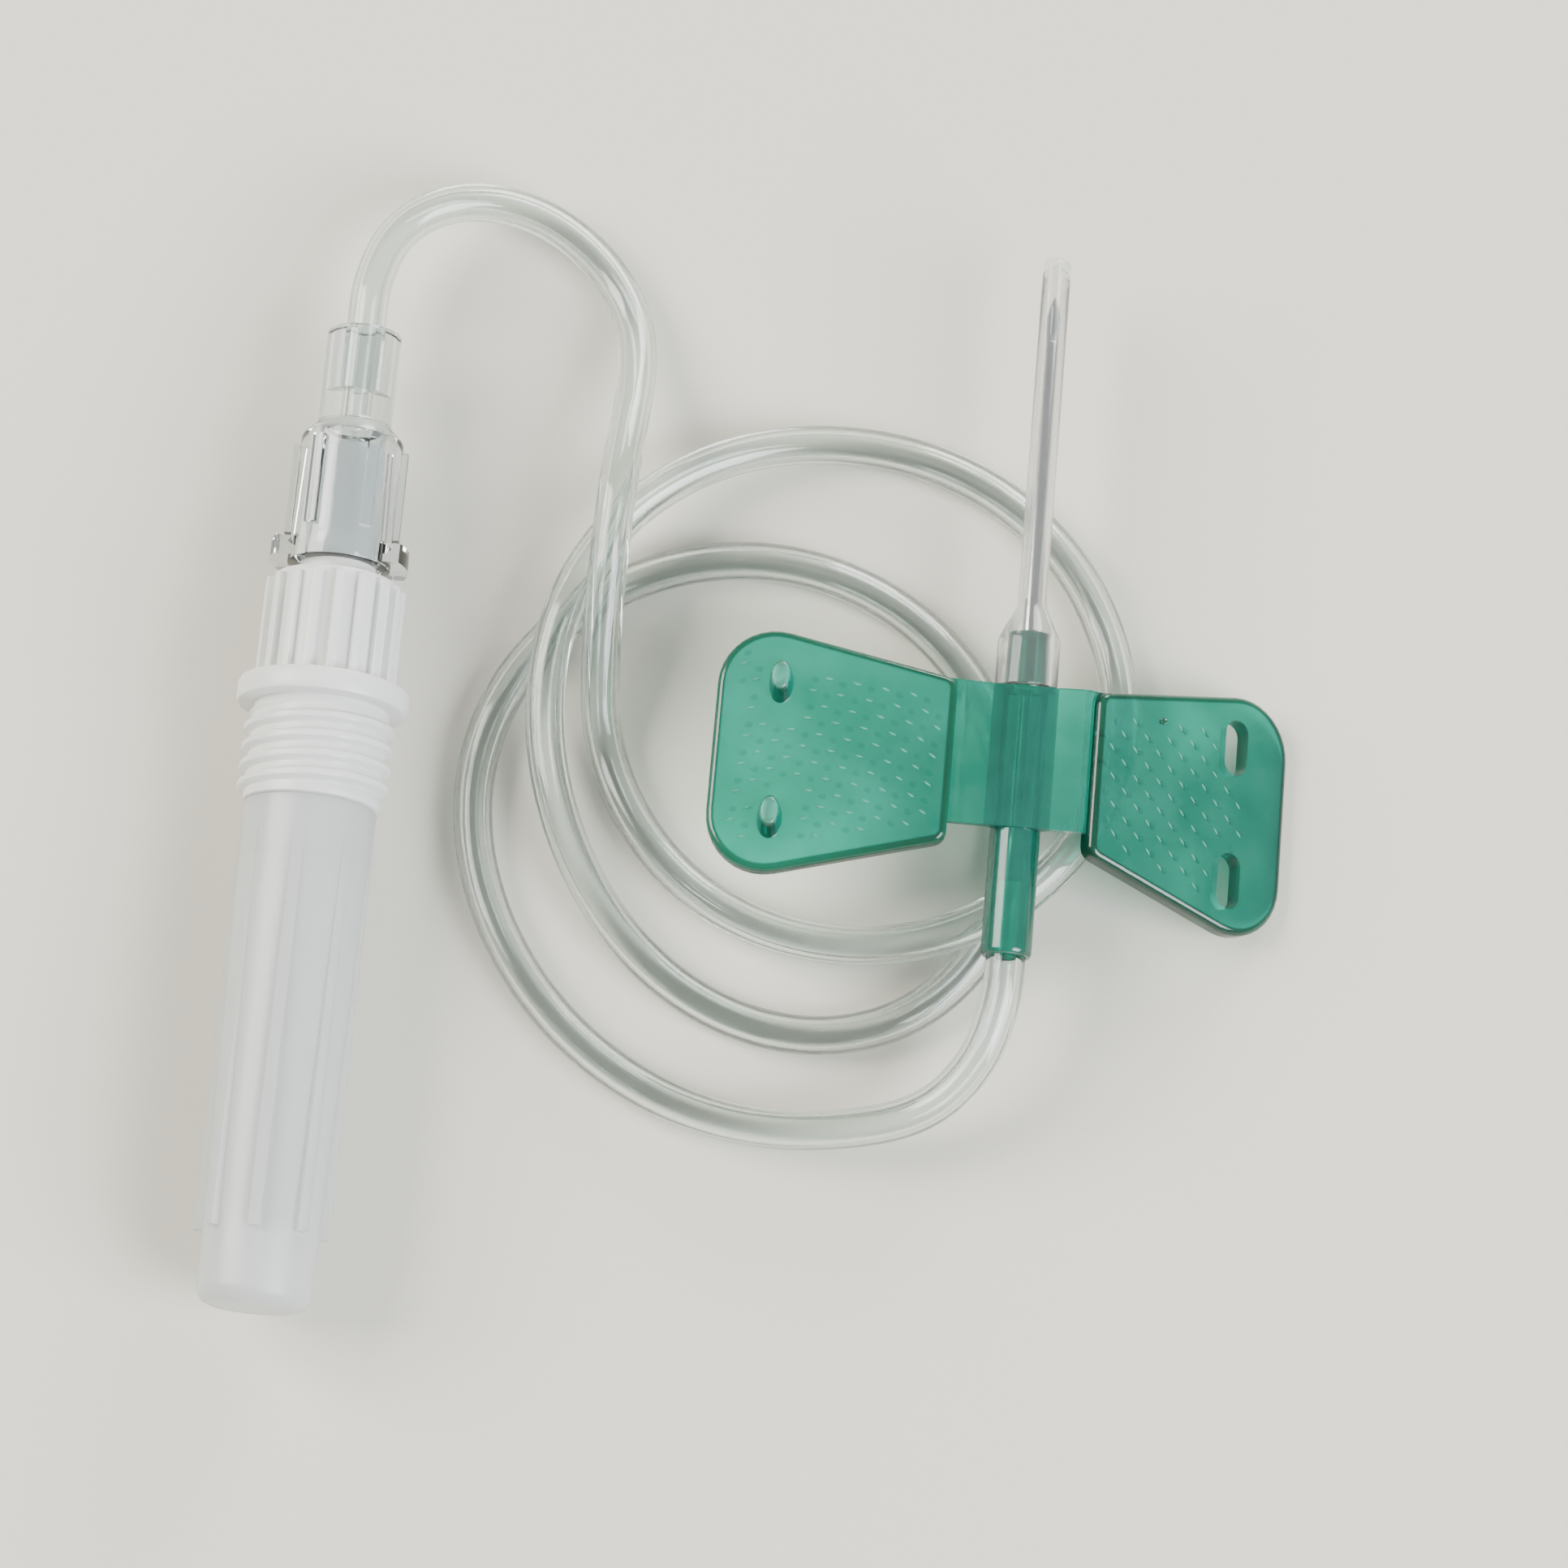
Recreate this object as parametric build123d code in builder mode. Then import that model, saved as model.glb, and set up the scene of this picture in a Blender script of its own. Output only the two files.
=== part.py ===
from build123d import *
from math import asin, atan2, cos, degrees, hypot, pi, radians, sin, tan
import os

os.makedirs("parts", exist_ok=True)

# Frame: origin on the cannula axis at the face of the hub nose, +Y towards the point, +Z up.

# Clearances that the fits are made with
push_clearance = 0.03
guard_clearance = 0.05

# Front cannula, 21 gauge
cannula_od = 0.82
cannula_id = 0.51
cannula_reach = 20.5
cannula_seat_depth = 12.5
bevel_angle = 14
lancet_angle = 21
lancet_roll = 38

# Hub: barrel, nose and web
barrel_od = 2.8
barrel_front_y = -3.2
barrel_tail_y = -18.3
nose_root_od = 2.6
nose_tip_od = 2.4
barrel_edge = 0.25
passage_od = 1.1
web_half_width = 3.1
web_front_y = -3.2
web_back_y = -11.3
web_bottom_z = 1.05
web_thickness = 0.45
web_edge = 0.1
web_root_half_width = 1.8
web_root_drop = 0.4

# Wings and living hinges
hinge_x = 3.3
hinge_z = web_bottom_z + web_thickness / 2
tongue_start = 0.05
tongue_thickness = 0.3
plate_start = 0.5
plate_below_hinge = web_thickness / 2
plate_thickness = 1.0
plate_round = 0.35
plate_edge = 0.1
wing_reach = 13.7
wing_inner_front_y = -3.25
wing_inner_back_y = -12.5
wing_outer_front_y = -0.65
wing_outer_back_y = -16.05
wing_inner_radius = 0.8
wing_outer_radius = 3.2

# Pegs and slots
catch_y = (-4.4, -12.1)
peg_reach = 10.2
peg_root = (1.45, 2.35)
peg_end = (1.0, 1.8)
peg_height = 1.8
slot_reach = 10.0
slot_size = (1.55, 3.2)

# Sheath of the front cannula
sheath_mouth_od = 3.5
sheath_mouth_y = -3.1
sheath_mouth_end_y = -0.3
sheath_neck_y = 1.9
sheath_od = 1.6
sheath_id = 1.15
sheath_end_y = 22.6
sheath_end_wall = 0.5

# Tubing, laid on the table
tubing_od = 2.2
tubing_id = 1.2
tubing_seat_y = -14.3
table_z = -6.3
loop_radius = 15.5
loop_section_od = 2.3
loop_pitch = 2.2
lower_loop_centre = (-15.3, -10.5)
upper_loop_centre = (-11.4, -3.4)
fillet_share = 0.45
tubing_floor_z = table_z + tubing_od / 2
lower_loop_z = table_z + loop_section_od / 2
upper_loop_z = lower_loop_z + loop_pitch

# Connector train, drawn along its own axis from the face that the tubing enters
train_x = -39.0
train_y = 15.2
train_radius = 4.8
train_z = table_z + train_radius
tubing_glue_depth = 3.7
luer_taper = 0.03
socket_length = 14.0
socket_mouth_od = 4.3
socket_cone_depth = 8.2
socket_neck_od = 4.2
socket_neck_length = 5.6
socket_body_od = 5.8
socket_rib_count = 6
socket_rib_width = 0.6
socket_rib_height = 0.35
socket_rib_margin = 0.6
socket_lug_span = 7.8
socket_lug_width = 3.4
socket_lug_length = 1.2
cone_tip_depth = 7.1
adapter_shoulder = 14.8
adapter_waist_od = 7.0
adapter_rib_count = 18
adapter_rib_width = 0.5
adapter_rib_height = 0.45
adapter_rib_margin = 0.4
adapter_flange = 21.0
adapter_flange_od = 2 * train_radius
adapter_flange_length = 1.4
adapter_flange_round = 0.3
land_od = 8.4
land_end = 28.0
spigot_od = 6.2
spigot_end = 31.0
boss_od = 2.1
boss_end = 34.0
rear_seat = 24.0
rear_tip = 49.0
sleeve_od = 2.9
sleeve_end = 51.5
sleeve_end_wall = 0.8
guard_od = 7.4
guard_end_od = 6.2
guard_wall = 0.8
guard_round = 0.8
guard_rib_count = 8
guard_rib_width = 0.6
guard_rib_start = 30.0
guard_rib_end = 52.0
guard_end = 56.0

# Derived
nose_clear_od = nose_root_od + 2 * push_clearance
wing_rise = hypot(wing_reach, plate_below_hinge)
wing_sag = asin((hinge_z - table_z) / wing_rise) - atan2(plate_below_hinge, wing_reach)
train_plane = Plane(origin=(train_x, train_y, train_z), x_dir=(1, 0, 0), z_dir=(0, 0, -1))
train_axis = Axis((train_x, train_y, train_z), (0, -1, 0))


def outline(points, plane=Plane.XY):
    """Flat face inside a closed run of points."""
    with BuildSketch(plane) as face:
        with BuildLine():
            Polyline(*points, close=True)
        make_face()
    return face.sketch


def train_outline(points):
    """Radius and depth profile on the connector train's own plane."""
    return outline(points, train_plane)


def bore_outline(radius, start, end):
    """Profile of a plain bore in the connector train."""
    return train_outline([(0, start), (radius, start), (radius, end), (0, end)])


def train_ribs(count, outer_radius, width, start, end):
    """Ribs along the connector train, from its axis out to a radius; what lies inside is cut later."""
    with BuildPart() as ribs:
        with BuildSketch(Plane.XZ.offset(start - train_y)):
            with Locations((train_x, train_z)):
                with PolarLocations(0, count):
                    with Locations((outer_radius / 2, 0)):
                        Rectangle(outer_radius, width)
        extrude(amount=end - start)
    return ribs.part


def wing_plane(side, sag=0.0):
    """Hinge plane of a wing: local x is world x on the flat wing, z is the face normal."""
    return Plane(
        origin=(side * hinge_x, 0, hinge_z),
        x_dir=(cos(sag), 0, -side * sin(sag)),
        z_dir=(side * sin(sag), 0, cos(sag)),
    )


def make_wing(side, plane):
    """One wing plate with its hinge tongue, lying on the given hinge plane."""
    inner = side * plate_start
    outer = side * wing_reach
    tongue = side * tongue_start
    with BuildPart() as wing:
        with BuildSketch(plane.offset(-plate_below_hinge)):
            with BuildLine():
                Polyline(
                    (inner, wing_inner_front_y),
                    (outer, wing_outer_front_y),
                    (outer, wing_outer_back_y),
                    (inner, wing_inner_back_y),
                    close=True,
                )
            make_face()
            corners = sketch_corners(side)
            fillet(corners[:2], wing_inner_radius)
            corners = sketch_corners(side)
            fillet(corners[-2:], wing_outer_radius)
        extrude(amount=plate_thickness)
        up = Axis((0, 0, 0), plane.z_dir)
        fillet(wing.faces().sort_by(up)[-1].edges(), plate_round)
        chamfer(wing.faces().sort_by(up)[0].edges(), plate_edge)
        with BuildSketch(plane.offset(-tongue_thickness / 2)):
            with BuildLine():
                Polyline(
                    (tongue, web_front_y - web_edge),
                    (inner + side * plate_round, web_front_y - web_edge),
                    (inner + side * plate_round, web_back_y + web_edge),
                    (tongue, web_back_y + web_edge),
                    close=True,
                )
            make_face()
        extrude(amount=tongue_thickness)
    return wing


def sketch_corners(side):
    """Corners of the sketch in hand, the ones nearest the hinge first."""
    corners = BuildSketch._get_context().vertices()
    return corners.sort_by(Axis.X, reverse=side < 0)


def bend_radii(points):
    """Radius of the tangent arc at each inner point of the route."""
    route = [Vector(*point) for point in points]
    radii = []
    for before, here, after in zip(route, route[1:], route[2:]):
        arriving = here - before
        leaving = after - here
        turn = radians(arriving.get_angle(leaving))
        shorter = min(arriving.length, leaving.length)
        radii.append(fillet_share * shorter / tan(turn / 2))
    return radii


def make_tube(points, name):
    """Plain tube along straight runs joined by tangent arcs."""
    radii = bend_radii(points)
    with BuildPart() as tube:
        with BuildLine() as route:
            FilletPolyline(*points, radius=radii)
        path = route.wires()[0]
        start = Plane(origin=path @ 0, z_dir=path % 0)
        with BuildSketch(start):
            Circle(tubing_od / 2)
            Circle(tubing_id / 2, mode=Mode.SUBTRACT)
        sweep(path=path)
    section = pi / 4 * (tubing_od**2 - tubing_id**2)
    print(name, "radii", [round(radius, 1) for radius in radii], "length", round(path.length, 1))
    print(name, "volume", round(tube.part.volume, 2), "section x length", round(section * path.length, 2))
    return tube


# Front cannula with its ground point, bevel upwards
tip_y = cannula_reach


def ground_facet(angle, roll):
    """Plane of one ground facet, through the point, at the lowest line of the tube."""
    lean = radians(angle)
    turn = radians(roll)
    normal = (sin(turn) * cos(lean), sin(lean), cos(turn) * cos(lean))
    return Plane(origin=(0, tip_y, -cannula_od / 2), z_dir=normal)


with BuildPart() as needle_cannula:
    with BuildSketch(Plane.XZ.offset(cannula_seat_depth)):
        Circle(cannula_od / 2)
        Circle(cannula_id / 2, mode=Mode.SUBTRACT)
    extrude(amount=-(cannula_seat_depth + cannula_reach))
    split(bisect_by=ground_facet(bevel_angle, 0), keep=Keep.BOTTOM)
    split(bisect_by=ground_facet(lancet_angle, lancet_roll), keep=Keep.BOTTOM)
    split(bisect_by=ground_facet(lancet_angle, -lancet_roll), keep=Keep.BOTTOM)

# Hub: turned barrel with nose, bore for the cannula and for the tubing, and the web over it
with BuildPart() as hub_barrel:
    barrel_r = barrel_od / 2
    revolve(
        outline(
            [
                (0, 0),
                (nose_tip_od / 2, 0),
                (nose_root_od / 2, barrel_front_y),
                (barrel_r - barrel_edge, barrel_front_y),
                (barrel_r, barrel_front_y - barrel_edge),
                (barrel_r, barrel_tail_y + barrel_edge),
                (barrel_r - barrel_edge, barrel_tail_y),
                (0, barrel_tail_y),
            ]
        ),
        axis=Axis.Y,
    )
    with BuildSketch(Plane.XY.offset(web_bottom_z)):
        with Locations((0, (web_front_y + web_back_y) / 2)):
            Rectangle(2 * web_half_width, web_front_y - web_back_y)
    extrude(amount=web_thickness)
    root_foot = barrel_r - barrel_edge
    root_low_z = web_bottom_z - web_root_drop
    with BuildSketch(Plane.XZ.offset(-web_front_y)):
        with BuildLine():
            Polyline(
                (-web_root_half_width, web_bottom_z),
                (-root_foot, root_low_z),
                (root_foot, root_low_z),
                (web_root_half_width, web_bottom_z),
                close=True,
            )
        make_face()
    extrude(amount=web_front_y - web_back_y)
    revolve(
        outline(
            [
                (0, 1),
                (cannula_od / 2, 1),
                (cannula_od / 2, -cannula_seat_depth),
                (passage_od / 2, -cannula_seat_depth),
                (passage_od / 2, tubing_seat_y),
                (tubing_od / 2, tubing_seat_y),
                (tubing_od / 2, barrel_tail_y - 1),
                (0, barrel_tail_y - 1),
            ]
        ),
        axis=Axis.Y,
        mode=Mode.SUBTRACT,
    )

# Left wing, flat, with the two pegs on its upper face
left_plane = wing_plane(-1)
face_height = plate_thickness - plate_below_hinge
left_wing = make_wing(-1, left_plane)
with left_wing:
    for y in catch_y:
        with BuildSketch(left_plane.offset(face_height)) as root:
            with Locations((-peg_reach, y)):
                Ellipse(peg_root[0] / 2, peg_root[1] / 2)
        with BuildSketch(left_plane.offset(face_height + peg_height)) as end:
            with Locations((-peg_reach, y)):
                Ellipse(peg_end[0] / 2, peg_end[1] / 2)
        loft([root.sketch, end.sketch])

# Right wing, sagging until its outer edge lies on the table, with the two slots
right_plane = wing_plane(1, wing_sag)
right_wing = make_wing(1, right_plane)
with right_wing:
    with BuildSketch(right_plane.offset(-plate_below_hinge)) as slots:
        with Locations(*[(slot_reach, y) for y in catch_y]):
            SlotOverall(slot_size[1], slot_size[0], rotation=90)
    extrude(slots.sketch, amount=plate_thickness, mode=Mode.SUBTRACT)

# Sheath: wide mouth on the nose, slim tube with a closed end over the cannula
with BuildPart() as needle_sheath:
    mouth_wall = (sheath_mouth_od - nose_clear_od) / 2
    revolve(
        outline(
            [
                (nose_clear_od / 2, sheath_mouth_y),
                (sheath_mouth_od / 2, sheath_mouth_y),
                (sheath_mouth_od / 2, sheath_mouth_end_y),
                (sheath_od / 2, sheath_neck_y),
                (sheath_od / 2, sheath_end_y - sheath_end_wall / 2),
                (sheath_od / 2 - sheath_end_wall / 2, sheath_end_y),
                (0, sheath_end_y),
                (0, sheath_end_y - sheath_end_wall),
                (sheath_id / 2, sheath_end_y - sheath_end_wall),
                (sheath_id / 2, sheath_neck_y),
                (nose_tip_od / 2 + push_clearance, 0),
            ]
        ),
        axis=Axis.Y,
    )

# Tubing from the hub to the coil, the coil, and from the coil to the connector
tubing_lead = make_tube(
    [
        (0, tubing_seat_y, 0),
        (0, -21.8, 0),
        (-4.8, -26.8, -3.2),
        (-11.5, -27.8, -5.1),
        (-17.2, -26.2, tubing_floor_z),
    ],
    "tubing_lead",
)

with BuildPart() as tubing_coil:
    with Locations((*lower_loop_centre, lower_loop_z), (*upper_loop_centre, upper_loop_z)):
        Torus(loop_radius, loop_section_od / 2)

tubing_run = make_tube(
    [
        (-27.0, -3.6, upper_loop_z),
        (-25.3, 4.4, upper_loop_z),
        (-23.2, 12.2, tubing_floor_z),
        (-24.0, 20.4, tubing_floor_z),
        (-31.5, 24.7, -3.6),
        (train_x, 20.4, train_z),
        (train_x, train_y - tubing_glue_depth, train_z),
    ],
    "tubing_run",
)

# Female cone on the tubing
with BuildPart() as luer_socket:
    neck_r = socket_neck_od / 2
    body_r = socket_body_od / 2
    mouth_r = socket_mouth_od / 2
    cone_bottom = socket_length - socket_cone_depth
    cone_bottom_r = mouth_r - luer_taper * socket_cone_depth
    revolve(
        train_outline(
            [
                (0, 0),
                (neck_r, 0),
                (neck_r, socket_neck_length),
                (body_r, socket_neck_length + body_r - neck_r),
                (body_r, socket_length),
                (0, socket_length),
            ]
        ),
        axis=train_axis,
    )
    add(
        train_ribs(
            socket_rib_count,
            body_r + socket_rib_height,
            socket_rib_width,
            socket_neck_length + body_r - neck_r + socket_rib_margin,
            socket_length - socket_lug_length - socket_rib_margin,
        )
    )
    with BuildSketch(Plane.XZ.offset(socket_length - train_y - socket_lug_length)):
        with Locations((train_x, train_z)):
            Circle(socket_lug_span / 2)
            Rectangle(socket_lug_span, socket_lug_width, mode=Mode.INTERSECT)
    extrude(amount=socket_lug_length)
    revolve(bore_outline(tubing_od / 2, -1, tubing_glue_depth), axis=train_axis, mode=Mode.SUBTRACT)
    revolve(bore_outline(passage_od / 2, 0, socket_length), axis=train_axis, mode=Mode.SUBTRACT)
    revolve(
        train_outline(
            [
                (0, cone_bottom),
                (cone_bottom_r, cone_bottom),
                (mouth_r, socket_length),
                (0, socket_length),
            ]
        ),
        axis=train_axis,
        mode=Mode.SUBTRACT,
    )

# Male cone, grip and threaded land of the tube holder's adapter
with BuildPart() as luer_adapter:
    cone_tip_r = mouth_r - luer_taper * (socket_length - cone_tip_depth) - push_clearance
    cone_root_r = mouth_r + luer_taper * (adapter_shoulder - socket_length) - push_clearance
    flange_end = adapter_flange + adapter_flange_length
    revolve(
        train_outline(
            [
                (0, cone_tip_depth),
                (cone_tip_r, cone_tip_depth),
                (cone_root_r, adapter_shoulder),
                (adapter_waist_od / 2, adapter_shoulder),
                (adapter_waist_od / 2, adapter_flange),
                (adapter_flange_od / 2, adapter_flange),
                (adapter_flange_od / 2, flange_end),
                (land_od / 2, flange_end),
                (land_od / 2, land_end),
                (spigot_od / 2, land_end),
                (spigot_od / 2, spigot_end),
                (boss_od / 2, spigot_end),
                (boss_od / 2, boss_end),
                (0, boss_end),
            ]
        ),
        axis=train_axis,
    )
    flange_rims = luer_adapter.edges().filter_by(GeomType.CIRCLE).group_by(SortBy.RADIUS)[-1]
    fillet(flange_rims, adapter_flange_round)
    add(
        train_ribs(
            adapter_rib_count,
            adapter_waist_od / 2 + adapter_rib_height,
            adapter_rib_width,
            adapter_shoulder + adapter_rib_margin,
            adapter_flange,
        )
    )
    revolve(bore_outline(passage_od / 2, cone_tip_depth, rear_seat), axis=train_axis, mode=Mode.SUBTRACT)
    revolve(bore_outline(cannula_od / 2, rear_seat, boss_end), axis=train_axis, mode=Mode.SUBTRACT)

# Rear cannula with a plain bevel
with BuildPart() as rear_cannula:
    with BuildSketch(Plane.XZ.offset(rear_seat - train_y)):
        with Locations((train_x, train_z)):
            Circle(cannula_od / 2)
            Circle(cannula_id / 2, mode=Mode.SUBTRACT)
    extrude(amount=rear_tip - rear_seat)
    rear_lean = radians(bevel_angle)
    rear_plane = Plane(
        origin=(train_x, train_y - rear_tip, train_z - cannula_od / 2),
        z_dir=(0, -sin(rear_lean), cos(rear_lean)),
    )
    split(bisect_by=rear_plane, keep=Keep.BOTTOM)

# Closed sleeve over the rear cannula
with BuildPart() as rubber_sleeve:
    sleeve_r = sleeve_od / 2
    revolve(
        train_outline(
            [
                (boss_od / 2, spigot_end),
                (sleeve_r, spigot_end),
                (sleeve_r, sleeve_end - sleeve_end_wall),
                (sleeve_r - sleeve_end_wall, sleeve_end),
                (0, sleeve_end),
                (0, sleeve_end - sleeve_end_wall),
                (boss_od / 2, sleeve_end - sleeve_end_wall),
            ]
        ),
        axis=train_axis,
    )

# Guard over the sleeve, a push fit on the adapter's spigot
with BuildPart() as adapter_guard:
    guard_bore_r = spigot_od / 2 + guard_clearance
    guard_inner_end_r = guard_end_od / 2 - guard_wall
    revolve(
        train_outline(
            [
                (0, land_end),
                (guard_od / 2, land_end),
                (guard_end_od / 2, guard_end),
                (0, guard_end),
            ]
        ),
        axis=train_axis,
    )
    fillet(adapter_guard.faces().sort_by(Axis.Y)[0].edges(), guard_round)
    add(train_ribs(guard_rib_count, guard_od / 2, guard_rib_width, guard_rib_start, guard_rib_end))
    revolve(
        train_outline(
            [
                (0, land_end - guard_wall),
                (guard_bore_r, land_end - guard_wall),
                (guard_bore_r, spigot_end + guard_clearance),
                (guard_bore_r - guard_wall / 2, spigot_end + guard_clearance),
                (guard_inner_end_r, guard_end - guard_wall),
                (0, guard_end - guard_wall),
            ]
        ),
        axis=train_axis,
        mode=Mode.SUBTRACT,
    )

needle_cannula.part.label = "needle_cannula"
export_step(needle_cannula.part, "parts/needle_cannula.step")
needle_sheath.part.label = "needle_sheath"
export_step(needle_sheath.part, "parts/needle_sheath.step")
hub_barrel.part.label = "hub_barrel"
export_step(hub_barrel.part, "parts/hub_barrel.step")
left_wing.part.label = "left_wing"
export_step(left_wing.part, "parts/left_wing.step")
right_wing.part.label = "right_wing"
export_step(right_wing.part, "parts/right_wing.step")
tubing_lead.part.label = "tubing_lead"
export_step(tubing_lead.part, "parts/tubing_lead.step")
tubing_coil.part.label = "tubing_coil"
export_step(tubing_coil.part, "parts/tubing_coil.step")
tubing_run.part.label = "tubing_run"
export_step(tubing_run.part, "parts/tubing_run.step")
luer_socket.part.label = "luer_socket"
export_step(luer_socket.part, "parts/luer_socket.step")
luer_adapter.part.label = "luer_adapter"
export_step(luer_adapter.part, "parts/luer_adapter.step")
rear_cannula.part.label = "rear_cannula"
export_step(rear_cannula.part, "parts/rear_cannula.step")
rubber_sleeve.part.label = "rubber_sleeve"
export_step(rubber_sleeve.part, "parts/rubber_sleeve.step")
adapter_guard.part.label = "adapter_guard"
export_step(adapter_guard.part, "parts/adapter_guard.step")
print("wing sag", round(degrees(wing_sag), 2), "hinge", (hinge_x, round(hinge_z, 3)))
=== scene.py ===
import math

import bmesh
import bpy
from mathutils import Matrix, Quaternion, Vector


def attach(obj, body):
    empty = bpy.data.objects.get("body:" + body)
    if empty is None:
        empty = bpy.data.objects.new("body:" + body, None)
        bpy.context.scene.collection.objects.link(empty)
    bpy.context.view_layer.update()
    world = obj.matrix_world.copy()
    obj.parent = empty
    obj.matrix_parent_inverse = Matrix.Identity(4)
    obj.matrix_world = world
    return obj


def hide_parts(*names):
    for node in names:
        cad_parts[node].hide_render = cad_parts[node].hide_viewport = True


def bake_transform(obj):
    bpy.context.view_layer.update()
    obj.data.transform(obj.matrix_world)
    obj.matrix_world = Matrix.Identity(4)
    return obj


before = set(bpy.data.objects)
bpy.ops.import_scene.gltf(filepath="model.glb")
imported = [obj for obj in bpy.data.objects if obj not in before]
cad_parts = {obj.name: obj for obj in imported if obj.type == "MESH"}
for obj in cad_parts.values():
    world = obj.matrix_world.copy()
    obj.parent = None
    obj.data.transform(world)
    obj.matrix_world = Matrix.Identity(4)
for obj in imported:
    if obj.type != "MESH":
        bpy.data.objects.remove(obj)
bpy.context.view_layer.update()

# Sizes of the object in millimetres, in the frame of its solids
MM = 0.001
TABLE_Z = -6.3
CANNULA_R = 0.41
CANNULA_BORE_R = 0.255
TIP_Y = 20.5
SEAT_Y = -12.5
NOSE_ROOT_Y = -3.2
BARREL_R = 1.4
BARREL_TAIL_Y = -18.3
PASSAGE_R = 0.55
GLUE_GAP = 0.01
WEB_LOW_Z = 1.05
WEB_HIGH_Z = 1.5
WEB_FRONT_Y = -3.2
WEB_BACK_Y = -11.3
WEB_ROOT_X = 1.8
HINGE_X = 3.3
HINGE_Z = 1.275
HINGE_REACH = 0.45
HINGE_GROOVE = 0.04
PLATE_LOW = -0.225
PLATE_STEP = 0.225
PLATE_HIGH = 0.775
PLATE_START = 0.5
PLATE_ROUND = 0.35
WING_REACH = 13.7
CATCHES = (-4.4, -12.1)
SLOT_REACH = 10.0
PEG_REACH = 10.2
PEG_HALF = (0.725, 1.175)
TUBE_R = 1.1
TUBE_BORE_R = 0.6
TUBE_SEAT_Y = -14.3
LOOP_R = 15.5
TRAIN = Vector((-39.0, 15.2, -1.5))
SOCKET_SEAT = 3.7
REAR_SEAT = 24.0
REAR_TIP = 49.0

# Tolerances: points are one point within DOUBLES, level within NEAR, and on one side of a piece
# within BESIDE
DOUBLES = 0.0005
NEAR = 0.001
BESIDE = 0.1
SHARP_ANGLE = 35
MOTTLE_SHARES = (0.35, 0.65)


def srgb(code):
    """Linear colour from a hex code."""
    parts = [int(code[i:i + 2], 16) / 255 for i in (0, 2, 4)]
    linear = [c / 12.92 if c <= 0.04045 else ((c + 0.055) / 1.055) ** 2.4 for c in parts]
    return (*linear, 1)


def node(tree, kind, links=None, **settings):
    """One shader node with its settings and the sockets that feed it."""
    made = tree.nodes.new(kind)
    for name, value in settings.items():
        if hasattr(made, name):
            setattr(made, name, value)
        else:
            made.inputs[name.replace("_", " ")].default_value = value
    for name, source in (links or {}).items():
        tree.links.new(source, made.inputs[name])
    return made


def material(name, colour, **sockets):
    """Material with its uniform values on the shader's own sockets."""
    made = bpy.data.materials.new(name)
    made.use_nodes = True
    shader = made.node_tree.nodes["Principled BSDF"]
    shader.inputs["Base Color"].default_value = srgb(colour)
    for socket, value in sockets.items():
        shader.inputs[socket.replace("_", " ")].default_value = value
    return made


def fine_surface(made, size, depth, stretch=(1, 1, 1), attribute=None):
    """Relief of a given grain size and depth in millimetres, on the piece's own coordinates."""
    tree = made.node_tree
    if attribute:
        where = node(tree, "ShaderNodeAttribute", attribute_name=attribute).outputs["Vector"]
    else:
        where = node(tree, "ShaderNodeTexCoord").outputs["Object"]
    spread = node(tree, "ShaderNodeMapping", {"Vector": where}, Scale=stretch)
    noise = node(
        tree, "ShaderNodeTexNoise", {"Vector": spread.outputs[0]}, Scale=1 / (size * MM), Detail=2
    )
    relief = node(
        tree, "ShaderNodeBump", {"Height": noise.outputs[0]}, Strength=1.0, Distance=depth * MM
    )
    tree.links.new(relief.outputs[0], tree.nodes["Principled BSDF"].inputs["Normal"])


def mottle(made, size, *colours):
    """Slow drift between two colours over a size in millimetres, as the melt froze."""
    tree = made.node_tree
    where = node(tree, "ShaderNodeTexCoord")
    noise = node(
        tree,
        "ShaderNodeTexNoise",
        {"Vector": where.outputs["Object"]},
        Scale=1 / (size * MM),
        Detail=3,
    )
    drift = node(tree, "ShaderNodeValToRGB", {"Fac": noise.outputs[0]})
    for end, share, colour in zip(drift.color_ramp.elements, MOTTLE_SHARES, colours):
        end.position = share
        end.color = srgb(colour)
    tree.links.new(drift.outputs[0], tree.nodes["Principled BSDF"].inputs["Base Color"])


def mark(made, attribute, colour, **sockets):
    """Give the surface this colour and these values where the piece's own attribute is one."""
    tree = made.node_tree
    shader = tree.nodes["Principled BSDF"]
    share = node(tree, "ShaderNodeAttribute", attribute_name=attribute).outputs["Fac"]
    under = shader.inputs["Base Color"].links[0].from_socket
    both = node(tree, "ShaderNodeMixRGB", {"Fac": share, "Color1": under}, Color2=srgb(colour))
    tree.links.new(both.outputs[0], shader.inputs["Base Color"])
    for name, marked in sockets.items():
        socket = shader.inputs[name.replace("_", " ")]
        plain = socket.default_value
        level = node(tree, "ShaderNodeMapRange", {"Value": share}, To_Min=plain, To_Max=marked)
        if socket.is_linked:
            tree.links.new(socket.links[0].from_socket, level.inputs["To Min"])
        tree.links.new(level.outputs[0], socket)


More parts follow.
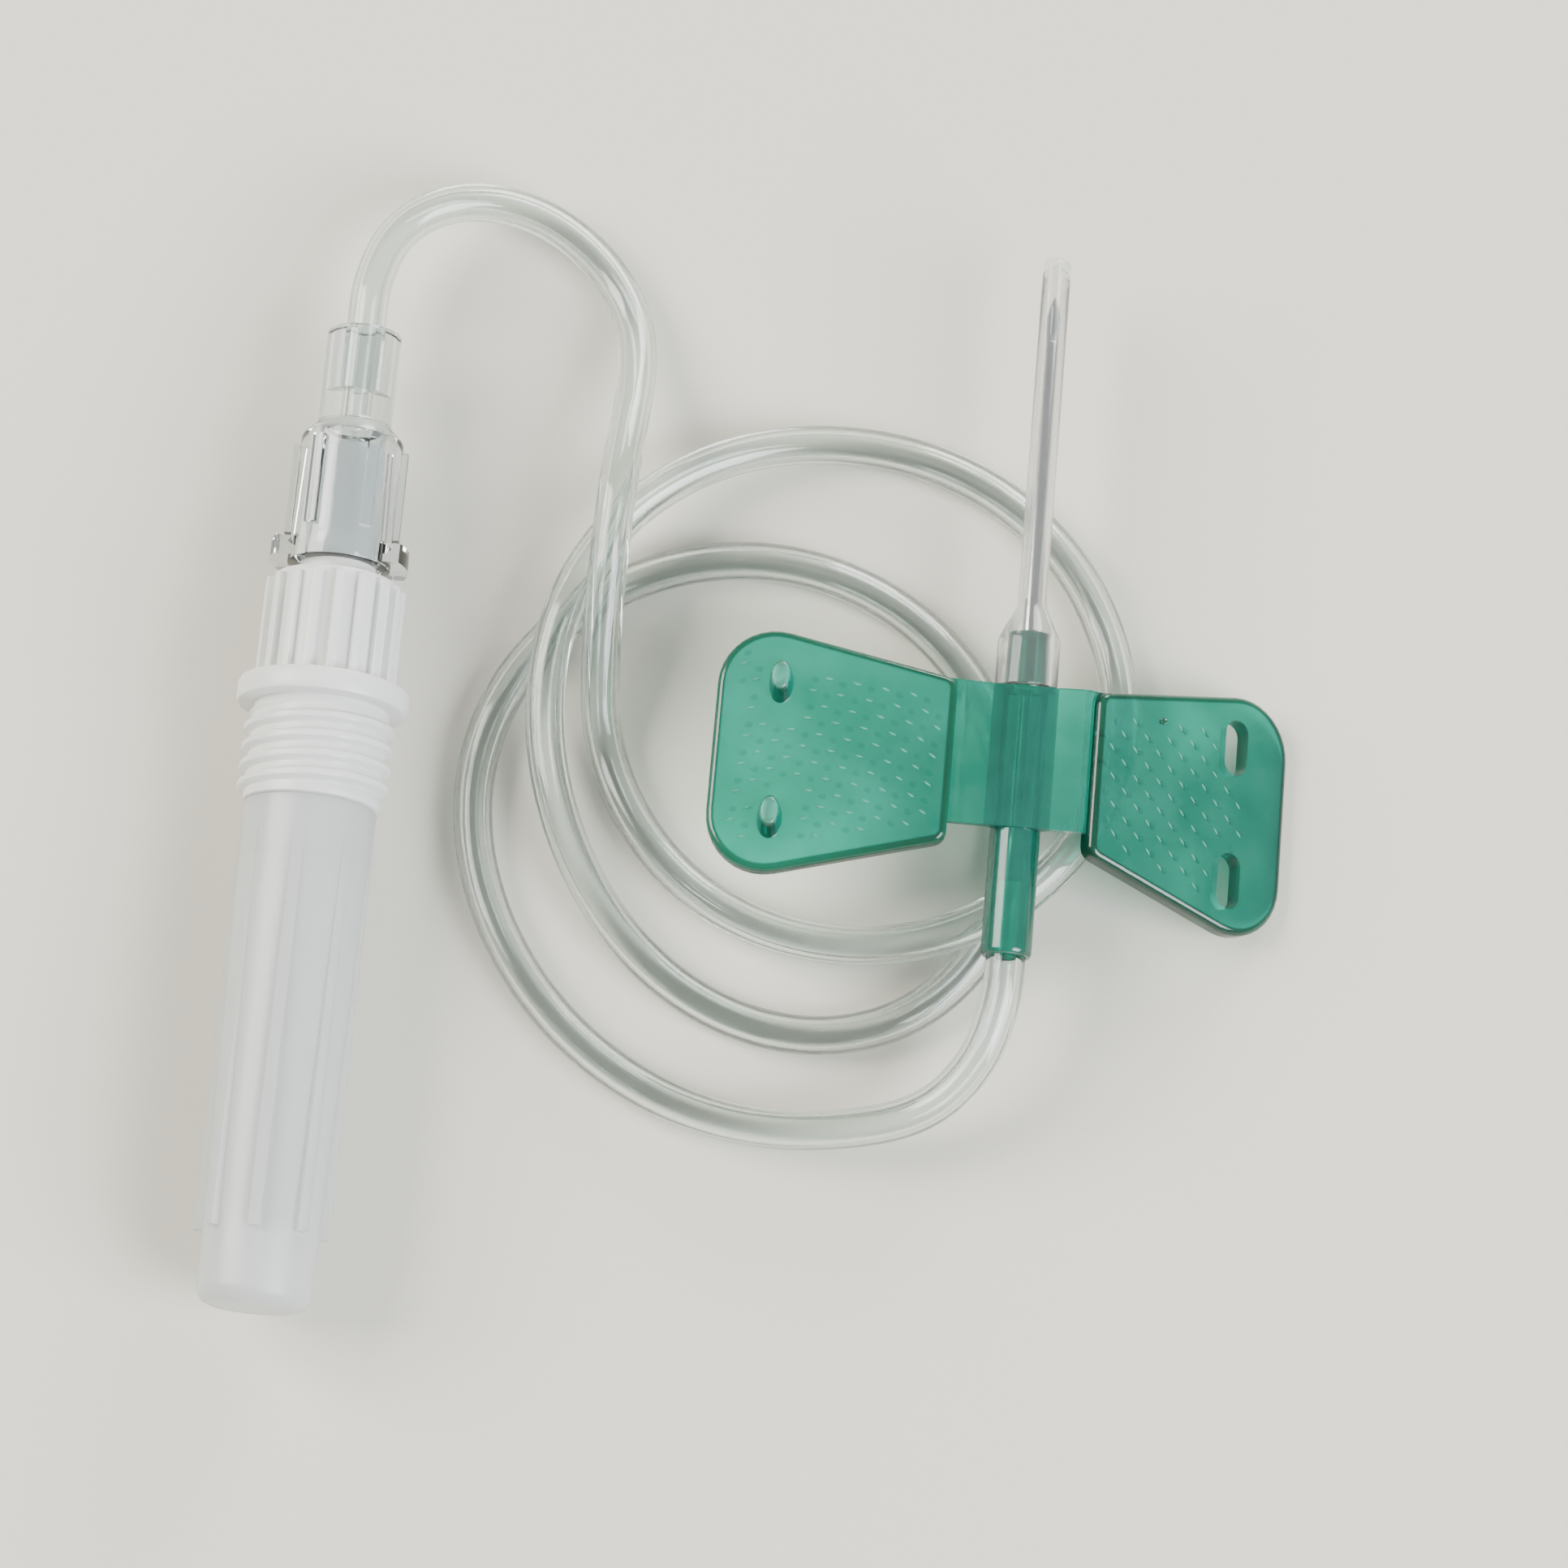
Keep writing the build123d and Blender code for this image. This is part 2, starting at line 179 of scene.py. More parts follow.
def finish_piece(name, mesh, surface, body, slot, *replaced):
    """Object from a mesh in millimetres: faces outwards, smooth but for its real edges."""
    bmesh.ops.remove_doubles(mesh, verts=mesh.verts, dist=DOUBLES)
    bmesh.ops.recalc_face_normals(mesh, faces=mesh.faces)
    bmesh.ops.scale(mesh, vec=(MM, MM, MM), verts=mesh.verts)
    limit = math.radians(SHARP_ANGLE)
    for edge in mesh.edges:
        edge.smooth = len(edge.link_faces) == 2 and edge.calc_face_angle(0) < limit
    for face in mesh.faces:
        face.smooth = True
    data = bpy.data.meshes.new(name)
    mesh.to_mesh(data)
    mesh.free()
    made = bpy.data.objects.new(name, data)
    bpy.context.collection.objects.link(made)
    data.materials.append(surface)
    if body:
        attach(made, body)
    if replaced:
        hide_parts(*replaced)
    return made


def turned(profile, centre=(0, 0, 0), along=(0, 1, 0), steps=72):
    """Mesh of a (radius, distance) profile turned about an axis, closed if it starts off it."""
    centre = Vector(centre)
    along = Vector(along)
    across = Vector((0, 0, 1))
    mesh = bmesh.new()
    ring = [mesh.verts.new(centre + along * d + across * r) for r, d in profile]
    edges = [mesh.edges.new(pair) for pair in zip(ring, ring[1:])]
    if profile[0][0] > 0:
        edges.append(mesh.edges.new((ring[-1], ring[0])))
    bmesh.ops.spin(
        mesh,
        geom=ring + edges,
        cent=centre,
        axis=along,
        angle=2 * math.pi,
        steps=steps,
        use_merge=True,
    )
    bmesh.ops.remove_doubles(mesh, verts=mesh.verts, dist=DOUBLES)
    return mesh


def edges_of(faces):
    """Edges of some faces, each once, in the same order every run."""
    return list(dict.fromkeys(edge for face in faces for edge in face.edges))


def draw_out(mesh, faces, place):
    """Extrude faces as one region, each new point going where place puts it."""
    made = bmesh.ops.extrude_face_region(mesh, geom=list(faces) + edges_of(faces))["geom"]
    for item in made:
        if isinstance(item, bmesh.types.BMVert):
            item.co = place(item.co)
    return [item for item in made if isinstance(item, bmesh.types.BMFace)]


def bevel(mesh, edges, size, segments):
    """Round some edges off."""
    bmesh.ops.bevel(
        mesh,
        geom=edges,
        offset=size,
        affect="EDGES",
        segments=segments,
        profile=0.5,
        material=-1,
        clamp_overlap=True,
    )


def rounded(corners, radii, steps):
    """Outline through corners with each one rounded by its own radius."""
    points = []
    for i, radius in enumerate(radii):
        here = Vector(corners[i])
        before = (Vector(corners[i - 1]) - here).normalized()
        after = (Vector(corners[(i + 1) % len(corners)]) - here).normalized()
        half = before.angle(after) / 2
        reach = radius / math.tan(half)
        middle = here + (before + after).normalized() * (radius / math.sin(half))
        start = here + before * reach - middle
        turn = -start.angle_signed(here + after * reach - middle)
        for step in range(steps + 1):
            points.append(middle + Matrix.Rotation(turn * step / steps, 2) @ start)
    return points


def ease(t):
    """Smooth step from nought to one."""
    t = min(max(t, 0), 1)
    return t * t * (3 - 2 * t)


# Camera: 75 degrees above the table, from the barrel's tail, turned so that the cannula leans right
VIEW_ELEVATION = math.radians(75)
VIEW_TURN = math.radians(4.9)
VIEW_DISTANCE = 0.26
VIEW_WIDTH = 0.088
SENSOR = 36
aim = Vector((-0.0130, -0.0085, -0.004))
level = math.cos(VIEW_ELEVATION)
toward_camera = Vector(
    (level * math.sin(VIEW_TURN), -level * math.cos(VIEW_TURN), math.sin(VIEW_ELEVATION))
)
camera_data = bpy.data.cameras.new("camera")
camera_data.sensor_width = SENSOR
camera_data.lens = SENSOR * VIEW_DISTANCE / VIEW_WIDTH
camera_data.clip_start = 0.01
camera = bpy.data.objects.new("camera", camera_data)
camera.location = aim + toward_camera * VIEW_DISTANCE
camera.rotation_mode = "QUATERNION"
camera.rotation_quaternion = toward_camera.to_track_quat("Z", "Y")
bpy.context.collection.objects.link(camera)
bpy.context.scene.camera = camera

# Soft PVC with green dye, injection moulded: clear like bottle glass, so its thick parts gather
# colour, with the slow streaks of the melt and a soft shine. A painted shade of dark green stands
# for the dark that light piped to the rims leaves there, and the grip dashes, eroded in the mould,
# are frosted, with a painted highlight for the light they catch
green_pvc = material(
    "green_pvc_injection_moulded",
    "42D6BC",
    Roughness=0.15,
    IOR=1.53,
    Transmission_Weight=0.9,
)
mottle(green_pvc, 3.5, "38CCAF", "4CE2C8")
# Painted shade: dark green and less clear where the edge attribute is set, on the rims, the
# barrel's underside, the bumps, the gate mark and the pegs' ends
mark(green_pvc, "edge", "14624B", Transmission_Weight=0.82)
# Painted highlight: lighter green and less clear on the grip dashes and the pegs' crowns, which are
# also frosted, so rougher
mark(green_pvc, "grip", "7AD8BC", Roughness=0.42, Transmission_Weight=0.46)
fine_surface(green_pvc, 0.5, 0.006)
# Colour that light loses on its way through, per metre
green_depth = node(
    green_pvc.node_tree, "ShaderNodeVolumeAbsorption", Color=srgb("21CECB"), Density=1180
)
green_pvc.node_tree.links.new(
    green_depth.outputs[0], green_pvc.node_tree.nodes["Material Output"].inputs["Volume"]
)
# Clear PVC tubing, extruded: glassy, with faint drawn lines along it
clear_pvc = material(
    "clear_pvc_extruded",
    "EEF4F2",
    Roughness=0.07,
    IOR=1.53,
    Transmission_Weight=1.0,
)
fine_surface(clear_pvc, 0.5, 0.012, stretch=(1, 1, 0.03), attribute="drawn")
# Clear polyethylene, drawn thin: a little milky, with long soft lines
clear_polyethylene = material(
    "clear_polyethylene_drawn",
    "F4F5F4",
    Roughness=0.13,
    IOR=1.45,
    Transmission_Weight=0.97,
)
fine_surface(clear_polyethylene, 0.4, 0.006, stretch=(1, 0.05, 1))
# Stainless steel, drawn and ground: long fine lines along the tube
drawn_steel = material(
    "stainless_steel_drawn",
    "C9CBCC",
    Metallic=1.0,
    Roughness=0.24,
)
fine_surface(drawn_steel, 0.09, 0.003, stretch=(1, 0.03, 1))
# Clear polycarbonate, injection moulded: hard and glossy, with a trace of flow
clear_polycarbonate = material(
    "clear_polycarbonate_moulded",
    "EDF3F5",
    Roughness=0.05,
    IOR=1.58,
    Transmission_Weight=1.0,
)
fine_surface(clear_polycarbonate, 1.5, 0.006)
# White ABS, injection moulded: satin, with a coarse spark grain from the mould
white_abs = material(
    "white_abs_moulded",
    "DCDEDA",
    Roughness=0.36,
    IOR=1.53,
)
fine_surface(white_abs, 0.22, 0.008)
# Grey natural rubber, dip moulded: dull, with dip ripples
grey_rubber = material(
    "grey_rubber_dipped",
    "9A958A",
    Roughness=0.7,
    IOR=1.52,
)
fine_surface(grey_rubber, 0.6, 0.02)
# Milky polypropylene, injection moulded: lets light in, blurs what is inside
milky_polypropylene = material(
    "milky_polypropylene_moulded",
    "EFF3F1",
    Roughness=0.32,
    IOR=1.49,
    Transmission_Weight=0.55,
    Subsurface_Weight=0.5,
    Subsurface_Radius=(0.002, 0.002, 0.002),
    Subsurface_Scale=1.0,
)
fine_surface(milky_polypropylene, 0.9, 0.01)

# Route of the tubing. The stretch to the coil and the one after it are listed point by point.
LEAD_POINTS = [
    (0, TUBE_SEAT_Y, 0),
    (0, -17.4, 0),
    (0, -20.6, -0.25),
    (-1.0, -24.1, -1.4),
    (-3.7, -26.9, -2.9),
]
RUN_POINTS = [
    (-23.9, -1.8, -2.6),
    (-23.9, 1.8, -1.3),
    (-23.8, 4.8, -0.5),
    (-23.7, 8.0, -0.6),
    (-23.5, 11.8, -1.9),
    (-23.4, 15.4, -3.8),
    (-24.1, 19.2, -5.0),
    (-26.6, 22.6, -5.0),
    (-30.2, 24.6, -4.1),
    (-34.4, 24.6, -2.9),
    (-37.7, 22.4, -2.0),
    (TRAIN.x, 18.9, TRAIN.z),
    (TRAIN.x, TRAIN.y, TRAIN.z),
    (TRAIN.x, TRAIN.y - SOCKET_SEAT, TRAIN.z),
]
TURNS = 2.31
FIRST_POINT = 0.05
START_ANGLE = math.radians(-57)
POINTS_PER_TURN = 20
FINE_PER_TURN = 180
# Centres that the turns drift between, each with the turn that its drift starts at and how many
# turns it takes
CENTRES = [
    (Vector((-12.1, -13.2)), 0, 1),
    (Vector((-15.3, -10.5)), 0.0, 0.4),
    (Vector((-11.4, -3.4)), 0.79, 0.6),
    (Vector((-8.7, -2.2)), 1.34, 0.9),
]
LANDING_TURN = 0.16
LANDING_HEIGHT = 1.9
STACK_GAP = 0.12
# A hump falls by this much per square millimetre of distance, over this many fine points
HUMP_FALL = 0.007
HUMP_REACH = FINE_PER_TURN // 3
TUBE_SIDES = 28


def loop_plan(t):
    """Plan position on the coil after t turns, clockwise."""
    centre = CENTRES[0][0].copy()
    for (before, _, _), (after, start, span) in zip(CENTRES, CENTRES[1:]):
        centre += (after - before) * ease((t - start) / span)
    angle = START_ANGLE - 2 * math.pi * t
    return centre + LOOP_R * Vector((math.cos(angle), math.sin(angle)))


def coil_points():
    """Points of the coil: down from the hub to the table, then lifted over the turns it crosses."""
    fine = [loop_plan(i / FINE_PER_TURN) for i in range(int(TURNS * FINE_PER_TURN) + 1)]
    floor_z = TABLE_Z + TUBE_R
    width = 2 * TUBE_R
    heights = []
    step = 2 * math.pi * LOOP_R / FINE_PER_TURN
    apart = FINE_PER_TURN // 2
    for i, here in enumerate(fine):
        left = max(0, 1 - i / FINE_PER_TURN / LANDING_TURN)
        height = floor_z + LANDING_HEIGHT * left**2
        for j in range(0, i - apart):
            gap = (here - fine[j]).length
            if gap < width:
                height = max(height, heights[j] + math.sqrt(width**2 - gap**2) + STACK_GAP)
        heights.append(height)
    eased = []
    for i in range(len(fine)):
        near = range(max(0, i - HUMP_REACH), min(len(fine), i + HUMP_REACH + 1))
        eased.append(max(heights[k] - HUMP_FALL * ((i - k) * step) ** 2 for k in near))
    picked = []
    for n in range(round(FIRST_POINT * POINTS_PER_TURN), int(TURNS * POINTS_PER_TURN) + 1):
        i = round(n / POINTS_PER_TURN * FINE_PER_TURN)
        picked.append((fine[i].x, fine[i].y, eased[i]))
    return picked


def make_route():
    """The cord's own line: one open curve through the lead, the coil and the run."""
    points = LEAD_POINTS + coil_points() + RUN_POINTS
    curve = bpy.data.curves.new("tubing_route", "CURVE")
    curve.dimensions = "3D"
    curve.resolution_u = 6
    spline = curve.splines.new("NURBS")
    spline.points.add(len(points) - 1)
    for place, point in zip(spline.points, points):
        place.co = (point[0] * MM, point[1] * MM, point[2] * MM, 1)
    spline.order_u = 3
    spline.use_endpoint_u = True
    made = bpy.data.objects.new("tubing_route", curve)
    bpy.context.collection.objects.link(made)
    return made


def route_line(route):
    """Points along the evaluated curve, in metres."""
    settled = route.evaluated_get(bpy.context.evaluated_depsgraph_get())
    line = bpy.data.meshes.new_from_object(settled)
    points = [v.co.copy() for v in line.vertices]
    bpy.data.meshes.remove(line)
    return points


def hose(points, radii):
    """Hollow tube along points in metres: the ring between two radii, extruded from point to point.
    Each point keeps its place round and along the tube, for the drawn lines."""
    mesh = bmesh.new()
    drawn = mesh.verts.layers.float_vector.new("drawn")
    side = Vector((1, 0, 0))
    frames = []
    for i, point in enumerate(points):
        ahead = (points[min(i + 1, len(points) - 1)] - points[max(i - 1, 0)]).normalized()
        side = (side - ahead * side.dot(ahead)).normalized()
        turn = Matrix((side, ahead.cross(side), ahead)).transposed().to_4x4()
        frames.append(Matrix.Translation(point / MM) @ turn)
    for radius in radii:
        bmesh.ops.create_circle(mesh, segments=TUBE_SIDES, radius=radius, matrix=frames[0])
    for vert in mesh.verts:
        vert[drawn] = frames[0].inverted() @ vert.co * MM
    end = bmesh.ops.bridge_loops(mesh, edges=mesh.edges[:])["faces"]
    along = 0
    for before, after in zip(frames, frames[1:]):
        along += (after.translation - before.translation).length
        geom = end + edges_of(end)
        start = before == frames[0]
        made = bmesh.ops.extrude_face_region(mesh, geom=geom, use_keep_orig=start)["geom"]
        end = [item for item in made if isinstance(item, bmesh.types.BMFace)]
        verts = [item for item in made if isinstance(item, bmesh.types.BMVert)]
        bmesh.ops.transform(mesh, matrix=after @ before.inverted(), verts=verts)
        for vert in verts:
            flat = after.inverted() @ vert.co
            vert[drawn] = Vector((flat.x, flat.y, along)) * MM
    return mesh


route = make_route()
line = route_line(route)
bpy.data.objects.remove(route)
line_length = sum((b - a).length for a, b in zip(line, line[1:]))
tubing = finish_piece(
    "tubing",
    hose(line, (TUBE_R, TUBE_BORE_R)),
    clear_pvc,
    "hub",
    "tubing_clear",
    "tubing_lead",
    "tubing_coil",
    "tubing_run",
)


def make_cannula(name, start, end, facets, body, replaced):
    """Steel tube from one end to a ground point at the other, along Y."""
    reach = abs(end[1] - start[1])
    along = Vector((0, math.copysign(1, end[1] - start[1]), 0))
    profile = [
        (CANNULA_R, 0),
        (CANNULA_R, reach),
        (CANNULA_BORE_R, reach),
        (CANNULA_BORE_R, 0),
    ]
    mesh = turned(profile, start, along, steps=48)
    tip = Vector(end) - Vector((0, 0, CANNULA_R))
    for angle, roll in facets:
        lean = math.radians(angle)
        turn = math.radians(roll)
        flat = math.cos(lean)
        normal = Vector((math.sin(turn) * flat, along.y * math.sin(lean), math.cos(turn) * flat))
        bmesh.ops.bisect_plane(
            mesh,
            geom=mesh.verts[:] + mesh.edges[:] + mesh.faces[:],
            plane_co=tip,
            plane_no=normal,
            clear_outer=True,
            dist=DOUBLES,
        )
        open_edges = [edge for edge in mesh.edges if edge.is_boundary]
        bmesh.ops.triangle_fill(mesh, edges=open_edges, use_beauty=True)
    return finish_piece(name, mesh, drawn_steel, body, "needle_steel", replaced)


# The point: one long bevel, then two lancet facets that give it its edges
LANCET = [(14, 0), (21, 38), (21, -38)]
make_cannula("cannula", (0, SEAT_Y, 0), (0, TIP_Y, 0), LANCET, "hub", "needle_cannula")

# Sheath: round closed end, slim tube, neck, wide mouth on the nose, and back along the bore
sheath = turned(
    [
        (0, 22.6),
        (0.30, 22.58),
        (0.55, 22.48),
        (0.72, 22.3),
        (0.79, 22.05),
        (0.80, 21.8),
        (0.80, 2.1),
        (0.85, 1.75),
        (1.05, 1.3),
        (1.62, 0.1),
        (1.72, -0.15),
        (1.75, -0.45),
        (1.75, -2.9),
        (1.72, -3.04),
        (1.63, -3.1),
        (1.40, -3.1),
        (1.33, -3.04),
        (1.24, 0.05),
        (0.85, 1.2),
        (0.62, 1.8),
        (0.575, 2.1),
        (0.575, 21.6),
        (0.42, 21.95),
        (0, 22.1),
    ],
    steps=60,
)
finish_piece("sheath", sheath, clear_polyethylene, "sheath", "sheath_clear", "needle_sheath")

# Barrel: nose, groove, shoulder, tail, then the bores for the tubing and the cannula
SHOULDER_Y = -3.42
barrel = turned(
    [
        (CANNULA_R + GLUE_GAP, 0),
        (1.12, 0),
        (1.18, -0.03),
        (1.2, -0.1),
        (1.28, -2.9),
        (1.3, NOSE_ROOT_Y),
        (1.22, -3.25),
        (1.34, -3.3),
        (BARREL_R, SHOULDER_Y),
        (BARREL_R, WEB_BACK_Y),
        (BARREL_R, BARREL_TAIL_Y + 0.3),
        (1.37, BARREL_TAIL_Y + 0.12),
        (1.3, BARREL_TAIL_Y + 0.03),
        (1.2, BARREL_TAIL_Y),
        (TUBE_R + GLUE_GAP, BARREL_TAIL_Y),
        (TUBE_R + GLUE_GAP, TUBE_SEAT_Y),
        (PASSAGE_R, TUBE_SEAT_Y),
        (PASSAGE_R, SEAT_Y),
        (CANNULA_R + GLUE_GAP, SEAT_Y),
    ]
)
ROOT_ANGLE = 60
TOP_ANGLE = 55
WEB_EDGE_ROUND = 0.06
BARREL_PAINTED_SHADE = 0.7
BARREL_PAINTED_SHADE_Z = 1.04


def over_barrel(face):
    """Whether a face of the barrel lies under the web."""
    middle = face.calc_center_median()
    return (
        WEB_BACK_Y < middle.y < SHOULDER_Y
        and math.hypot(middle.x, middle.z) > BARREL_R - BESIDE
        and abs(math.degrees(math.atan2(middle.x, middle.z))) < ROOT_ANGLE
    )


def web_root(co):
    """Place on the web's middle of a point of the barrel's upper side."""
    angle = math.degrees(math.atan2(co.x, co.z))
    y = WEB_BACK_Y if co.y < WEB_BACK_Y + BESIDE else WEB_FRONT_Y
    if abs(angle) > (ROOT_ANGLE + TOP_ANGLE) / 2:
        return Vector((math.copysign(WEB_ROOT_X, co.x), y, WEB_LOW_Z))
    return Vector((WEB_ROOT_X * angle / TOP_ANGLE, y, WEB_HIGH_Z))


def straight_edges(mesh, test):
    """Edges whose two points both pass a test."""
    return [edge for edge in mesh.edges if all(test(vert.co) for vert in edge.verts)]


draw_out(barrel, [face for face in barrel.faces if over_barrel(face)], web_root)
for edge_y in (WEB_FRONT_Y, WEB_BACK_Y):
    bevel(
        barrel,
        straight_edges(barrel, lambda co: abs(co.y - edge_y) < NEAR and co.z > WEB_HIGH_Z - NEAR),
        WEB_EDGE_ROUND,
        segments=2,
    )
# Painted shade: its lower side, below the web, is painted darker than the web over it
painted_shade_layer = barrel.verts.layers.float.new("edge")
for vert in barrel.verts:
    vert[painted_shade_layer] = BARREL_PAINTED_SHADE if vert.co.z < BARREL_PAINTED_SHADE_Z else 0.0
finish_piece("barrel", barrel, green_pvc, "hub", "wing_green", "hub_barrel")

# Wings, made lying flat with the hinge at x 0 and the tip at +x, then laid in their place
WEB_GAP = 0.005
WEB_END = WEB_ROOT_X + WEB_GAP - HINGE_X
# Cuts across the web for its bend, all a little off the plate's side, and the hinge's groove
WEB_CUTS = 24
CUT_SHIFT = 0.02
GROOVE_WIDTH = 0.16
PLATE_CORNERS = [
    (PLATE_START, -3.25),
    (WING_REACH, -0.65),
    (WING_REACH, -16.05),
    (PLATE_START, -12.5),
]
PLATE_RADII = [0.8, 3.2, 3.2, 0.8]
CORNER_STEPS = 10
SLOT_HALF_WIDTH = 0.775
SLOT_HALF_LENGTH = 1.6
SLOT_CORNER_R = 0.755
SLOT_CORNER_STEPS = 6
FLAT_MARGIN = 0.12
# Grip pattern: steps from mark to mark and from row to row, where it starts and ends, its half
# width, which spreads with the distance from the hinge, and its distance from pegs and slots
GRIP_STEP = Vector((1.57, 0.17))
GRIP_ROW = Vector((-0.86, 0.72))
GRIP_START = Vector((5.6, -8.2))
GRIP_COUNT = 14
GRIP_INNER = 1.3
GRIP_END = {-1: 12.4, 1: 10.6}
GRIP_MIDDLE_Y = -8.1
GRIP_HALF = 3.3
GRIP_SPREAD = 0.2
CATCH_CLEAR = (1.25, 1.95)
# Dashes on the upper face with a painted highlight, bumps on the lower one with a weak painted
# shade, and the mark of the mould's gate with a full painted shade. Levels say how far inside the
# ring before each ring lies, and how high over it
DASH_HALF = (0.27, 0.085)
DASH_LEVELS = [(0.015, 0), (0.03, 0.05), (0.025, 0.02)]
DASH_SIDES = 8
DASH_SLANT = {-1: 0.7, 1: -0.8}
SLANT_REACH = 9.0
BUMP_HALF = (0.3, 0.24)
BUMP_LEVELS = [(0.03, 0), (0.08, 0.05), (0.06, 0.02)]
BUMP_SIDES = 10
BUMP_PAINTED_SHADE = 0.4
GATE = Vector((4.8, -4.0))
GATE_SLANT = 0.4
GATE_HALF = (0.3, 0.2)
GATE_LEVELS = [(0.02, 0), (0.03, 0.08), (0.05, -0.03)]
GATE_CLEAR = 1.0
# Pegs: both ends carry a painted shade from this share of their length on, and the top is frosted,
# with a painted highlight, over the crown. Levels are a ring's share of the foot's size and its
# height over the plate
PEG_SIDES = 40
PEG_SHADE_END = 0.72
PEG_CROWN = 1.65
PEG_FROST_HIGHLIGHT = 0.5
PEG_LEVELS = [
    (0.96, 0.03),
    (0.93, 0.15),
    (0.76, 1.45),
    (0.72, PEG_CROWN),
    (0.62, 1.76),
    (0.45, 1.8),
]


def level_face(mesh, height):
    """The largest face at a height."""
    flat = [f for f in mesh.faces if all(abs(v.co.z - height) < NEAR for v in f.verts)]
    return max(flat, key=lambda f: f.calc_area())


def open_level(mesh, height):
    """Cut the middle out of the flat face at a height, to be filled round what stands on it."""
    face = level_face(mesh, height)
    bmesh.ops.inset_region(mesh, faces=[face], thickness=FLAT_MARGIN, use_even_offset=True)
    bmesh.ops.delete(mesh, geom=[level_face(mesh, height)], context="FACES_ONLY")


def fill_level(mesh, height):
    """Fill the flat face at a height round the loops that stand open on it."""
    flat = straight_edges(mesh, lambda co: abs(co.z - height) < NEAR)
    open_edges = [edge for edge in flat if edge.is_boundary]
    bmesh.ops.triangle_fill(mesh, edges=open_edges, use_beauty=True)


def dash_slant(side, reach):
    """Slant of a grip dash: one way on the right wing, fanning towards the barrel on the left."""
    return DASH_SLANT[side] if side > 0 else DASH_SLANT[side] * (1 - reach / SLANT_REACH)


def grip_places(side, start):
    """Places of a grip pattern, in slanting rows clear of the rim, the catches and the gate."""
    places = []
    for i in range(-GRIP_COUNT, GRIP_COUNT + 1):
        for j in range(-GRIP_COUNT, GRIP_COUNT + 1):
            here = start + i * GRIP_STEP + j * GRIP_ROW
            half = GRIP_HALF + GRIP_SPREAD * here.x
            within = GRIP_INNER < here.x < GRIP_END[side] and abs(here.y - GRIP_MIDDLE_Y) < half
            across = abs(here.x - PEG_REACH) < CATCH_CLEAR[0]
            catch = across and any(abs(here.y - y) < CATCH_CLEAR[1] for y in CATCHES)
            gate = side > 0 and (here - GATE).length < GATE_CLEAR
            if within and not catch and not gate:
                places.append((here, dash_slant(side, here.x)))
    return places


def add_caps(mesh, places, half, segments, height=PLATE_HIGH):
    """Oval faces on a flat side of the plate."""
    caps = []
    for here, slant in places:
        matrix = (
            Matrix.Translation((here[0], here[1], height))
            @ Matrix.Rotation(slant, 4, "Z")
            @ Matrix.Diagonal((half[0], half[1], 1, 1))
        )
        made = bmesh.ops.create_circle(
            mesh, cap_ends=True, segments=segments, radius=1, matrix=matrix
        )
        caps.append(made["verts"][0].link_faces[0])
    return caps


def add_slots(mesh):
    """Walls of the two through slots."""
    for y in CATCHES:
        box = [
            (SLOT_REACH + a * SLOT_HALF_WIDTH, y + b * SLOT_HALF_LENGTH)
            for a, b in ((-1, 1), (1, 1), (1, -1), (-1, -1))
        ]
        ring = [
            mesh.verts.new((p.x, p.y, PLATE_LOW))
            for p in rounded(box, [SLOT_CORNER_R] * len(box), SLOT_CORNER_STEPS)
        ]
        edges = [mesh.edges.new(pair) for pair in zip(ring, ring[1:] + ring[:1])]
        made = bmesh.ops.extrude_edge_only(mesh, edges=edges)["geom"]
        verts = [item for item in made if isinstance(item, bmesh.types.BMVert)]
        bmesh.ops.translate(mesh, vec=(0, 0, PLATE_HIGH - PLATE_LOW), verts=verts)


def wing_blank():
    """Wing plate and its half of the web in one closed mesh, lying flat."""
    points = rounded(PLATE_CORNERS, PLATE_RADII, CORNER_STEPS)
    corner_end = points[CORNER_STEPS]
    points.append(Vector((PLATE_START, WEB_BACK_Y)))
    mesh = bmesh.new()
    top = [mesh.faces.new([mesh.verts.new((p.x, p.y, PLATE_LOW)) for p in points])]
    for height in (PLATE_STEP, PLATE_HIGH):
        top = draw_out(mesh, top, lambda co: Vector((co.x, co.y, height)))

    # The web is drawn out of the plate's inner side
    def web_side(face):
        middle = face.calc_center_median()
        upright = all(abs(v.co.z) < PLATE_STEP + NEAR for v in face.verts)
        within = WEB_BACK_Y < middle.y < corner_end.y + BESIDE and middle.x < corner_end.x
        return upright and within and abs(middle.z) < BESIDE

    walls = [face for face in mesh.faces if web_side(face)]
    draw_out(mesh, walls, lambda co: Vector((WEB_END, min(co.y, WEB_FRONT_Y), co.z)))
    bevel(mesh, level_face(mesh, PLATE_HIGH).edges[:], PLATE_ROUND, segments=4)
    return mesh


def cut_web(mesh):
    """Fine cuts across the web, so that it can bend, and the hinge's groove."""
    for i in range(WEB_CUTS + 1):
        across = (PLATE_START + HINGE_REACH) * i / WEB_CUTS - HINGE_REACH - CUT_SHIFT
        strip = [f for f in mesh.faces if min(v.co.x for v in f.verts) < PLATE_START - NEAR]
        corners = list(dict.fromkeys(v for f in strip for v in f.verts))
        geom = strip + edges_of(strip) + corners
        bmesh.ops.bisect_plane(mesh, geom=geom, plane_co=(across, 0, 0), plane_no=(1, 0, 0))
    for vert in mesh.verts:
        if vert.co.x < PLATE_START - NEAR and vert.co.z > 0:
            vert.co.z -= HINGE_GROOVE * math.exp(-((vert.co.x / GROOVE_WIDTH) ** 2))


def raise_marks(mesh, faces, levels, layer, value):
    """Raise small marks ring by ring, with their shading in a layer."""
    for thickness, depth in levels:
        bmesh.ops.inset_individual(mesh, faces=faces, thickness=thickness, depth=depth)
        for vert in (vert for face in faces for vert in face.verts):
            vert[layer] = value if depth else 0.0


